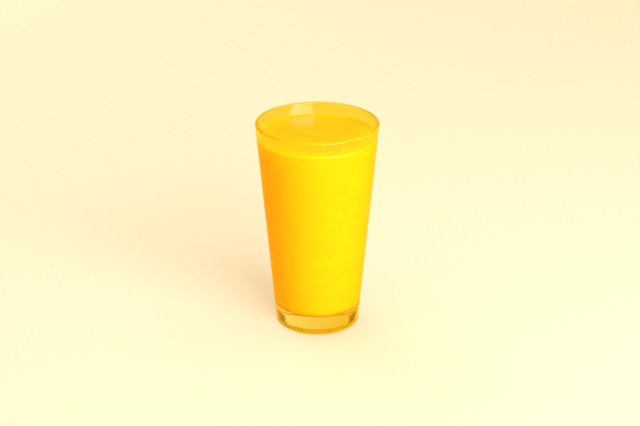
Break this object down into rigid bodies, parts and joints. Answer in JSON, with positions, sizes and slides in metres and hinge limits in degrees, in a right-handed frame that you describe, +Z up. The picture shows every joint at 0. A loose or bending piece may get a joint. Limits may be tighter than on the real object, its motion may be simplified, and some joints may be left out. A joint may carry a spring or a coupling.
{
  "type": "glass of orange juice",
  "caption": "Slant-sided clear glass tumbler with a rounded rim and a thick solid floor, filled almost to the rim with cloudy orange juice.",
  "frame": {"origin": "middle of the foot, on the surface that the glass stands on", "axes": "+Z up along the axis of the glass; the glass is the same all the way round, and -Y is called its front"},
  "size_m": [0.089, 0.089, 0.1555],
  "materials": {
    "glass": "clear",
    "juice": "gloss"
  },
  "bodies": {
    "root": {"glass": "glass", "juice": "juice"}
  },
  "joints": []
}
